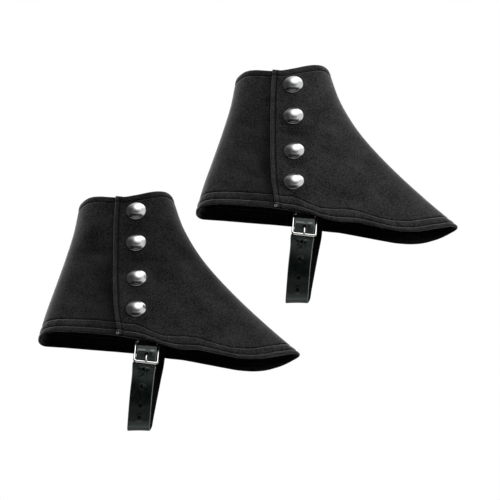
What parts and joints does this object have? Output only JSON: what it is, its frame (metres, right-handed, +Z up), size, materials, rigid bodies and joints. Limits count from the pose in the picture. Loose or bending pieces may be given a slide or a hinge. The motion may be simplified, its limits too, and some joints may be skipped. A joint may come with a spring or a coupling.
{
  "type": "pair of boot covers",
  "caption": "Pair of felt spats that snap shut over an ankle and instep, each with a buckled strap that passes under the shoe.",
  "frame": {"origin": "middle of the lower cover's ankle opening, where the wearer's ankle holds it up", "axes": "+X towards the toes, +Z up the leg, -Y the snapped side"},
  "size_m": [0.4248, 0.126, 0.3855],
  "materials": {
    "felt": "black felted cloth with a short nap",
    "tab": "dull black felt",
    "strap": "glossy black coated strap",
    "metal": "bright nickel plate, softly polished"
  },
  "bodies": {
    "root": {"lower_back_panel": "felt", "lower_front_panel": "felt", "lower_inner_panel": "felt", "lower_snap_cap_1": "metal", "lower_snap_cap_2": "metal", "lower_snap_cap_3": "metal", "lower_snap_cap_4": "metal", "lower_snap_back_1": "metal", "lower_snap_back_2": "metal", "lower_snap_back_3": "metal", "lower_snap_back_4": "metal", "lower_buckle_tab": "tab", "lower_buckle_frame": "metal", "lower_buckle_prong": "metal", "lower_strap": "strap", "upper_back_panel": "felt", "upper_front_panel": "felt", "upper_inner_panel": "felt", "upper_snap_cap_1": "metal", "upper_snap_cap_2": "metal", "upper_snap_cap_3": "metal", "upper_snap_cap_4": "metal", "upper_snap_back_1": "metal", "upper_snap_back_2": "metal", "upper_snap_back_3": "metal", "upper_snap_back_4": "metal", "upper_buckle_tab": "tab", "upper_buckle_frame": "metal", "upper_buckle_prong": "metal", "upper_strap": "strap"}
  },
  "joints": []
}
